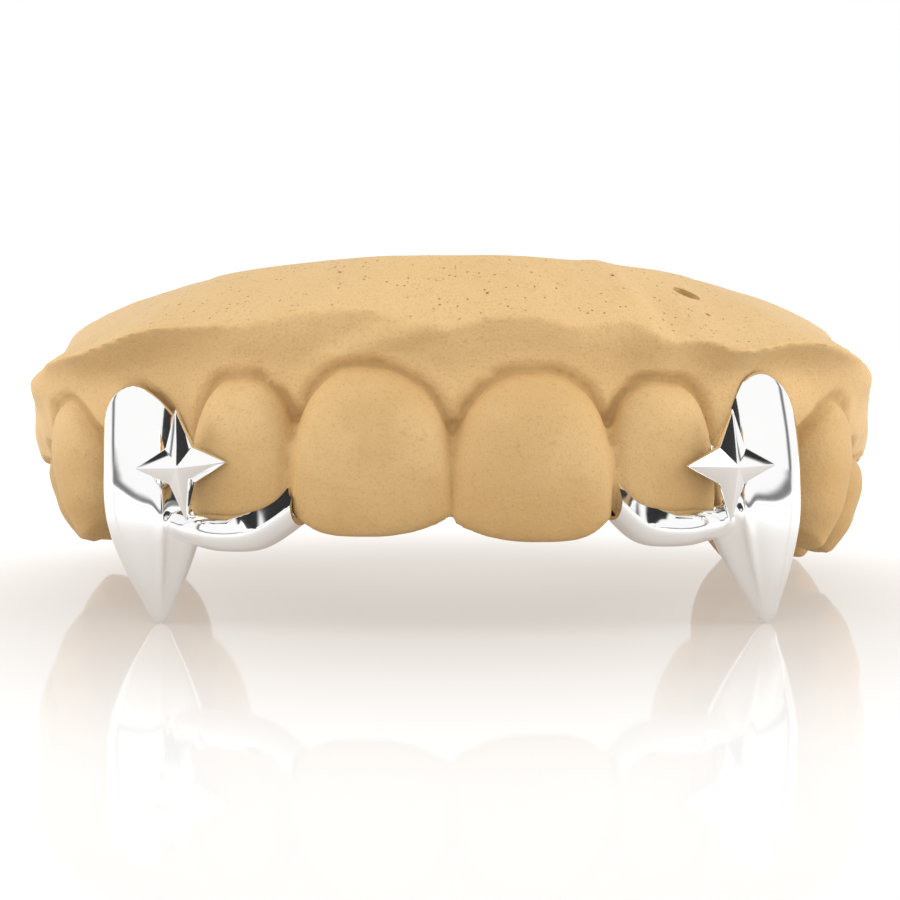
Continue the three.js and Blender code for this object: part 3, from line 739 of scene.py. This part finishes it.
def make_cast():
    """Gum, base and teeth as one skin, softened where they meet, with relief and opened bubbles."""
    rings = gum_rings(CAST_STATIONS)
    teeth = [tooth_skin(tooth, side) for side in (-1, 1) for tooth in TEETH]
    cast = mesh_object("plaster_cast_visual", *joined([loft(rings)] + teeth))
    remesh = cast.modifiers.new("remesh", "REMESH")
    remesh.mode = "VOXEL"
    remesh.voxel_size = VOXEL
    applied(cast)
    mesh = cast.data
    edges = read_edges(mesh)
    points = smoothed(read_points(mesh), edges, SKIN_ROUNDS)
    tooth, ground = labels(points, rings, teeth)
    near = spread(tooth, edges, BORDER_ROUNDS)
    wide = spread(tooth, edges, SWELL_ROUNDS)
    gum = 1 - np.maximum(spread(ground, edges, GROUND_ROUNDS), near)
    outer = np.clip((points[:, 2] - RELIEF_FROM) / (RELIEF_FULL - RELIEF_FROM), 0, 1)
    valley = 4 * near * (1 - near) * outer
    write_points(mesh, points)
    swell = MARGIN_SWELL * wide * np.clip(1 - near, 0, 1) * (1 - ground) * outer
    relief = swell - VALLEY_DEPTH * valley + folds(points)
    points = points + read_normals(mesh) * relief[:, None]
    points = smoothed(points, edges, RELIEF_ROUNDS)
    write_points(mesh, points)
    normals = read_normals(mesh)
    # How hollow each point lies, which sets the painted shade in the plaster's hollows
    hollow_shade = np.einsum("ij,ij->i", smoothed(points, edges, HOLLOW_ROUNDS, 0.5, 0) - points, normals)
    relief = gum * (waves(points, *GUM_WAVES) + waves(points, *GUM_RIPPLES))
    relief += (TOOTH_GRAIN + (1 - TOOTH_GRAIN) * gum) * waves(points, *GRAIN)
    relief += ground * waves(points, *GROUND_WAVES)
    write_points(mesh, points + normals * relief[:, None])
    add_attribute(mesh, "ground", spread(ground, edges, 2))
    # The gum, where the plaster's colour adds painted light
    add_attribute(mesh, "gum", gum)
    add_attribute(mesh, "hollow_shade", np.clip(hollow_shade / HOLLOW_DEPTH, -1, 1))
    # The groove round each tooth, which also sets painted shade in the plaster's colour
    add_attribute(mesh, "valley", valley)
    thin = cast.modifiers.new("thin", "DECIMATE")
    thin.ratio = CAST_TRIANGLES / (2 * len(mesh.polygons))
    applied(cast)
    for row in zip(*BUBBLES.values()):
        cut(cast, mesh_object("bubble", *bubble_skin(*row)), "DIFFERENCE")
    return cast


def fang_skin(row):
    """The outside of a cap and its fang, from the rolled rim down to the tip."""
    side = row["side"]
    place = tooth_place(tooth_named("canine"), side)
    shape = splines(FANG_SECTIONS)
    half = FANG_WIDTH / 2
    top = FANG_TOP + row["rise"]
    length = top + FANG_DROP
    turn = np.arange(FANG_SIDES) / FANG_SIDES * 2 * math.pi
    ahead = (1 + np.sin(turn - MARGIN_TURN * RAD)) / 2
    margin = MARGIN_LOW + (top - MARGIN_LOW) * ahead**MARGIN_POWER
    creases = [
        (rise * np.exp(-(((np.degrees(turn) - middle) / width) ** 2)), begin, full)
        for middle, width, rise, begin, full in zip(*CREASES.values())
    ]

    def point(up, inset):
        down = (top - up) / length
        deep = np.where(np.sin(turn) > 0, shape["front"](down), shape["back"](down)) * half
        across, forward = rounded_box(turn, shape["side"](down) * half, deep, FANG_POWER)
        keep = 1 - inset / np.hypot(across, forward)
        dying = np.clip((1 - down) / TIP_FADE, 0, 1)
        for proud, begin, full in creases:
            keep = keep + proud * np.clip((down - begin) / (full - begin), 0, 1) * dying
        past = down - LEAN_FROM
        share = np.where(past > 0, past / (1 - LEAN_FROM), -past / LEAN_FROM)
        lean = np.where(past > 0, row["tip_in"], row["top_in"]) * share**LEAN_POWER
        points = from_tooth(place, side, across * keep, forward * keep, up)
        points[:, 0] -= side * lean
        return points

    rings = [point(margin, RIM_IN)]
    for angle in np.linspace(90, 0, 7)[:-1] * RAD:
        rings.append(point(margin - RIM_ROLL * (1 - math.sin(angle)), RIM_ROLL * (1 - math.cos(angle))))
    start = margin - RIM_ROLL
    for i in range(FANG_LEVELS + 1):
        share = (i / FANG_LEVELS) ** 0.85
        rings.append(point(start * (1 - share) - FANG_DROP * share, 0))
    return loft(rings)


def star_matrix(row):
    """Where a star sits: its middle, turned outwards, tipped down and rolled."""
    side = row["side"]
    place = tooth_place(tooth_named("canine"), side)
    inward = row["star_in"] * FANG_WIDTH
    outward = row["star_out"] * FANG_WIDTH
    middle = from_tooth(place, side, -inward, outward, STAR_UP)
    yaw = row["yaw"] * RAD * side
    pitch = row["pitch"] * RAD
    ahead = Vector((math.sin(yaw) * math.cos(pitch), -math.cos(yaw) * math.cos(pitch), math.sin(pitch)))
    across = Vector((0, 0, 1)).cross(ahead).normalized()
    axes = Matrix((across, ahead.cross(across), ahead)).transposed().to_4x4()
    return Matrix.Translation(middle) @ axes @ Matrix.Rotation(row["roll"] * RAD, 4, "Z")


def star_object(row):
    """A four-pointed star, ridged along its arms, on a thin plate."""
    notch = np.array([NOTCH_X * STAR_WIDTH, NOTCH_Y * STAR_HEIGHT])
    quarter = [(STAR_WIDTH / 2, 0), tuple(notch), (0, STAR_HEIGHT / 2), (-notch[0], notch[1])]
    outline = quarter + [(-x, -y) for x, y in quarter]
    count = len(outline)
    points = [(x, y, z) for z in (-STAR_PLATE, 0) for x, y in outline]
    points.append((0, 0, STAR_RISE))
    faces = [list(range(count))[::-1]]
    for j in range(count):
        k = (j + 1) % count
        faces += [[j, k, count + k, count + j], [count + j, count + k, 2 * count]]
    star = mesh_object("star", points, faces)
    star.data.transform(star_matrix(row))
    soften = star.modifiers.new("soften", "BEVEL")
    soften.width = STAR_EDGE
    soften.segments = 2
    soften.limit_method = "ANGLE"
    soften.angle_limit = 15 * RAD
    applied(star)
    return star


def boss_object(row):
    """The round pin of solder that joins a star to its cap."""
    turn = np.arange(48) / 48 * 2 * math.pi
    circle = np.stack([np.cos(turn), np.sin(turn)], -1) * BOSS_WIDTH / 2
    depths = -STAR_PLATE / 2 - BOSS_LENGTH * np.arange(13) / 12
    rings = [np.column_stack([circle, np.full(48, depth)]) for depth in depths]
    boss = mesh_object("boss", *loft(rings))
    boss.data.transform(star_matrix(row))
    return boss


def bar_skin(row):
    """The bar along the side incisor's edge, with its filed flat."""
    side = row["side"]
    lateral = tooth_place(tooth_named("lateral"), side)
    canine = tooth_place(tooth_named("canine"), side)
    stops = {key: list(values) for key, values in BAR_PATH.items()}
    along = stops.pop("along")
    out = stops.pop("out")
    along[0] += row["bar_short"]
    across = [share * lateral["half_width"] for share in along[:-1]]
    spots = [from_tooth(lateral, side, a, o, 0) for a, o in zip(across, out[:-1])]
    spots.append(from_tooth(canine, side, along[-1] * FANG_WIDTH, out[-1] * FANG_WIDTH, 0))
    stops["x"] = [spot[0] for spot in spots]
    stops["y"] = [spot[1] for spot in spots]
    path = splines(stops)
    flat = splines(BAR_FLAT)
    turn = np.arange(BAR_SIDES) / BAR_SIDES * 2 * math.pi
    rings = []
    for at in np.linspace(0, stops["at"][-1], BAR_STEPS):
        thick = path["thick"](at) * BAR_THICKNESS / 2
        high = path["high"](at) * BAR_HEIGHT / 2
        out_mm, up_mm = rounded_box(turn, thick, high, BAR_POWER)
        face_out = math.cos(flat["turn"](at) * RAD)
        face_up = math.sin(flat["turn"](at) * RAD)
        reach = flat["reach"](at) * (face_out * thick + face_up * high)
        past = np.maximum(0, out_mm * face_out + up_mm * face_up - reach)
        out_mm = out_mm - past * face_out
        up_mm = up_mm - past * face_up
        x = path["x"](at) + side * out_mm * lateral["out"][0]
        y = path["y"](at) + out_mm * lateral["out"][1]
        rings.append(np.stack([x, y, path["up"](at) + row["bar_up"] + up_mm], -1))
    return loft(rings)


def make_cap(row):
    """One casting of silver, hollowed by the teeth and the gum that it is seated on."""
    cap = mesh_object(f"fang_cap_{row['name']}_visual", *fang_skin(row))
    cut(cap, star_object(row), "UNION")
    cut(cap, boss_object(row), "UNION")
    cut(cap, mesh_object("bar", *bar_skin(row)), "UNION")
    for tooth in TEETH[:4]:
        cut(cap, mesh_object("tooth", *tooth_skin(tooth, row["side"], FIT_GAP)), "DIFFERENCE")
    cut(cap, mesh_object("gum", *loft(gum_rings(CUT_STATIONS, FIT_GAP))), "DIFFERENCE")
    return cap


def feed(tree, socket, value):
    if isinstance(value, bpy.types.NodeSocket):
        tree.links.new(value, socket)
    else:
        socket.default_value = value


def add_node(tree, kind, inputs=None, **settings):
    made = tree.nodes.new("ShaderNode" + kind)
    for key, value in settings.items():
        setattr(made, key, value)
    for key, value in (inputs or {}).items():
        feed(tree, made.inputs[key], value)
    return made


def maths(tree, operation, *values):
    return add_node(tree, "Math", dict(enumerate(values)), operation=operation).outputs[0]


def product(tree, *values):
    result = values[0]
    for value in values[1:]:
        result = maths(tree, "MULTIPLY", result, value)
    return result


def inverse(tree, value):
    return maths(tree, "SUBTRACT", 1.0, value)


def fade(tree, value, low, high):
    """0 where value is below low, 1 above high and smooth between."""
    inputs = {"Value": value, "From Min": low, "From Max": high}
    return add_node(tree, "MapRange", inputs, interpolation_type="SMOOTHSTEP").outputs["Result"]


def band(tree, value, low, full, end, gone):
    """1 where value is between full and end, 0 below low and above gone, and smooth between."""
    return maths(tree, "SUBTRACT", fade(tree, value, low, full), fade(tree, value, end, gone))


def mixed(tree, share, first, second):
    made = add_node(tree, "Mix", data_type="RGBA")
    feed(tree, made.inputs[0], share)
    feed(tree, made.inputs[6], first)
    feed(tree, made.inputs[7], second)
    return made.outputs[2]


def noise(tree, spot, size_mm, detail=2.0, rough=0.5):
    inputs = {"Vector": spot, "Scale": 1000 / size_mm, "Detail": detail, "Roughness": rough}
    return add_node(tree, "TexNoise", inputs).outputs["Fac"]


def attribute(tree, name):
    return add_node(tree, "Attribute", attribute_name=name).outputs["Fac"]


def colour(red, green, blue):
    """A linear colour from sRGB values of 11 to 255."""
    return tuple(((v / 255 + 0.055) / 1.055) ** 2.4 for v in (red, green, blue)) + (1,)


def new_material(name):
    made = bpy.data.materials.new(name)
    made.use_nodes = True
    tree = made.node_tree
    tree.nodes.clear()
    shader = add_node(tree, "BsdfPrincipled")
    output = add_node(tree, "OutputMaterial")
    tree.links.new(shader.outputs[0], output.inputs["Surface"])
    return made, tree, shader


def plaster_material():
    """Tan stone plaster: blotchy, paler and full of pin holes where it is ground, with painted shade in
    hollows, grooves, pin holes and towards the teeth's edges, and painted light on the gum.
    """
    made, tree, shader = new_material("tan_plaster")
    spot = add_node(tree, "TexCoord").outputs["Object"]
    up = add_node(tree, "SeparateXYZ", {"Vector": spot}).outputs["Z"]
    ground = attribute(tree, "ground")
    gum = attribute(tree, "gum")
    valley = attribute(tree, "valley")
    hollow_shade = attribute(tree, "hollow_shade")
    blotch = noise(tree, spot, 5.5, 3.0, 0.55)
    speck = noise(tree, spot, 0.5, 3.0, 0.6)
    grain = noise(tree, spot, 0.13, 2.0, 0.7)
    tooth = inverse(tree, maths(tree, "MAXIMUM", gum, ground))
    # Painted shade: the teeth darker towards their biting edges, as under light from above
    edge = product(tree, tooth, inverse(tree, fade(tree, up, 0.006, 0.0135)))
    # Pin holes in the ground plaster: pushed in by the bump, and darkened with painted shade
    cells = add_node(tree, "TexVoronoi", {"Vector": spot, "Scale": 1000 / 0.45, "Randomness": 1.0})
    near = inverse(tree, fade(tree, cells.outputs["Distance"], 0.09, 0.19))
    chosen = fade(tree, noise(tree, spot, 0.9, 1.0), 0.46, 0.52)
    pore = product(tree, near, chosen, ground)
    layers = (
        # Painted light: the gum painted paler, as if lit more brightly than it is
        (gum, 0.7, (216, 180, 126)),
        # Painted shade towards the teeth's biting edges
        (edge, 0.5, (180, 141, 86)),
        (ground, 0.75, (211, 177, 124)),
        # Painted shade in the groove where a tooth meets the gum
        (fade(tree, valley, 0.6, 1.0), 0.22, (166, 128, 74)),
        # Painted shade in the plaster's hollows
        (fade(tree, hollow_shade, 0.15, 0.9), 0.5, (160, 122, 70)),
        (fade(tree, speck, 0.55, 0.8), 0.3, (166, 130, 82)),
        (fade(tree, grain, 0.5, 0.75), 0.45, (164, 129, 82)),
        # Painted shade inside the pin holes
        (pore, 0.75, (150, 106, 56)),
    )
    base = mixed(tree, fade(tree, blotch, 0.35, 0.68), colour(197, 161, 108), colour(207, 174, 123))
    for where, strength, shade in layers:
        base = mixed(tree, product(tree, where, strength), base, colour(*shade))
    feed(tree, shader.inputs["Base Color"], base)
    rough = maths(tree, "MULTIPLY_ADD", blotch, 0.14, 0.52)
    feed(tree, shader.inputs["Roughness"], rough)
    shader.inputs["Specular IOR Level"].default_value = 0.35
    fine = noise(tree, spot, 0.22, 2.0, 0.6)
    height = maths(tree, "MULTIPLY_ADD", fine, 0.5, product(tree, speck, 0.8))
    height = maths(tree, "MULTIPLY_ADD", pore, -2.2, height)
    bump = add_node(tree, "Bump", {"Height": height, "Strength": 0.6, "Distance": 0.0001})
    tree.links.new(bump.outputs[0], shader.inputs["Normal"])
    return made


def silver_material():
    """Mirror-polished silver, with the faint waves of hand polishing."""
    made, tree, shader = new_material("polished_silver")
    spot = add_node(tree, "TexCoord").outputs["Object"]
    wave = noise(tree, spot, 2.6, 1.5, 0.5)
    haze = noise(tree, spot, 0.7, 3.0, 0.6)
    shader.inputs["Metallic"].default_value = 1.0
    base = mixed(tree, wave, (0.95, 0.95, 0.95, 1), (0.98, 0.98, 0.975, 1))
    feed(tree, shader.inputs["Base Color"], base)
    feed(tree, shader.inputs["Roughness"], maths(tree, "MULTIPLY_ADD", haze, 0.07, 0.03))
    bump = add_node(tree, "Bump", {"Height": wave, "Strength": 0.25, "Distance": 0.00006})
    tree.links.new(bump.outputs[0], shader.inputs["Normal"])
    return made


def floor_material():
    """Pale glossy table that glows with painted light, warm near the cast to lift the shade there, and
    turns into the white of the backdrop further out.
    """
    made, tree, shader = new_material("pale_floor")
    spot = add_node(tree, "TexCoord").outputs["Object"]
    haze = noise(tree, spot, 30, 2.0)
    base = mixed(tree, haze, (0.21, 0.204, 0.197, 1), (0.22, 0.214, 0.207, 1))
    feed(tree, shader.inputs["Base Color"], base)
    shader.inputs["Roughness"].default_value = 0.05
    shader.inputs["Specular IOR Level"].default_value = 0.025
    away = add_node(tree, "VectorMath", {0: spot}, operation="LENGTH").outputs["Value"]
    out = fade(tree, away, 0.01, 0.06)
    far_out = fade(tree, away, 0.2, 0.6)
    # Painted light: the floor glows, tinted warm near the cast where it lifts the shade, and brighter
    # far out
    feed(tree, shader.inputs["Emission Color"], mixed(tree, out, (1, 0.9, 0.8, 1), (1, 1, 1, 1)))
    strength = maths(tree, "MULTIPLY_ADD", out, 0.37, 0.35)
    strength = maths(tree, "MULTIPLY_ADD", far_out, 0.3, strength)
    feed(tree, shader.inputs["Emission Strength"], strength)
    return made


def make_world():
    """A white tent, dark straight overhead, along its thin seams and in a patch at each side."""
    world = bpy.data.worlds.new("studio")
    world.use_nodes = True
    tree = world.node_tree
    tree.nodes.clear()
    split = add_node(tree, "SeparateXYZ", {"Vector": add_node(tree, "TexCoord").outputs["Generated"]})
    x, y, z = split.outputs
    # The edges below are in degrees: away from straight in front of the teeth, and up from level
    turn = maths(tree, "ARCTAN2", x, product(tree, y, -1.0))
    away = product(tree, maths(tree, "ABSOLUTE", turn), 180 / math.pi)
    up = product(tree, maths(tree, "ARCSINE", z), 180 / math.pi)
    low_seam = product(tree, band(tree, up, -1, 1, 2, 5), inverse(tree, fade(tree, away, 96, 104)))
    side_seam = product(tree, band(tree, away, 92, 97, 99, 106), fade(tree, up, 0, 3))
    seams = product(tree, maths(tree, "MAXIMUM", low_seam, side_seam), 0.8)
    roof = fade(tree, up, 77, 83)
    # Each patch hangs lower towards the back, and further back on the right, so that the bars mirror it
    # and most of the stars beside them don't.
    right = maths(tree, "GREATER_THAN", x, 0.0)
    behind = fade(tree, maths(tree, "MULTIPLY_ADD", right, -9.5, away), 86.5, 89)
    hanging = maths(tree, "MINIMUM", fade(tree, up, 29, 32), behind)
    height = maths(tree, "MAXIMUM", fade(tree, up, 45, 48), hanging)
    height = maths(tree, "SUBTRACT", height, fade(tree, up, 66, 70))
    patch = product(tree, band(tree, away, 70, 73, 112, 116), height)
    dark = product(tree, maths(tree, "MAXIMUM", roof, patch), 0.97)
    dark = maths(tree, "MAXIMUM", seams, dark)
    seen = add_node(tree, "LightPath").outputs["Is Camera Ray"]
    strength = inverse(tree, product(tree, dark, inverse(tree, seen)))
    background = add_node(tree, "Background", {"Color": (1, 1, 1, 1), "Strength": strength})
    output = add_node(tree, "OutputWorld")
    tree.links.new(background.outputs[0], output.inputs["Surface"])
    bpy.context.scene.world = world


def add_flag():
    """A black card on the midline in front of the teeth, seen only where a surface mirrors it."""
    near, far, bottom, top = -0.0262, -0.062, 0.009, 0.026
    corners = [(0, near, bottom), (0, far, bottom), (0, far, top), (0, near, top)]
    flag = mesh_object("black_flag", corners, [[0, 1, 2, 3]])
    made, _, shader = new_material("black_card")
    shader.inputs["Base Color"].default_value = (0.01, 0.01, 0.01, 1)
    shader.inputs["Roughness"].default_value = 0.9
    flag.data.materials.append(made)
    flag.visible_camera = False
    flag.visible_diffuse = False
    flag.visible_shadow = False
    flag.visible_transmission = False


def add_light(row):
    light = bpy.data.lights.new(row["name"], "AREA")
    light.shape = "RECTANGLE"
    light.size, light.size_y = row["size"]
    light.energy = row["power"]
    made = bpy.data.objects.new(row["name"], light)
    made.location = row["place"]
    beam = Vector(LIGHT_AIM) - Vector(row["place"])
    made.rotation_euler = beam.to_track_quat("-Z", "Y").to_euler()
    made.visible_glossy = row["mirrored"]
    bpy.context.scene.collection.objects.link(made)


def add_camera():
    camera = bpy.data.cameras.new("camera")
    camera.lens = CAMERA_LENS
    camera.sensor_width = 36
    camera.clip_start = 0.01
    made = bpy.data.objects.new("camera", camera)
    made.location = CAMERA_PLACE
    made.rotation_euler = ((90 - CAMERA_DOWN) * RAD, 0, 0)
    bpy.context.scene.collection.objects.link(made)
    bpy.context.scene.camera = made


def add_floor():
    half = 3.0
    corners = [(-half, -half, 0), (half, -half, 0), (half, half, 0), (-half, half, 0)]
    floor = mesh_object("floor", corners, [[0, 1, 2, 3]])
    floor.data.materials.append(floor_material())


def place_piece(piece, node, material, crisp):
    """Carries a finished piece to the row's frame, in place of its CAD node."""
    mesh = piece.data
    mesh.transform(TO_ROW)
    mesh.materials.clear()
    mesh.materials.append(material)
    mesh.shade_smooth()
    mesh.set_sharp_from_angle(angle=crisp * RAD)
    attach(piece, "root")
    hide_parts(node)


add_camera()
add_floor()
make_world()
add_flag()
for light_row in LIGHTS:
    add_light(light_row)
place_piece(make_cast(), "plaster_cast", plaster_material(), CAST_CRISP)
silver = silver_material()
for side_row in SIDES:
    place_piece(make_cap(side_row), f"fang_cap_{side_row['name']}", silver, CAP_CRISP)
bpy.context.scene.view_settings.view_transform = "Standard"
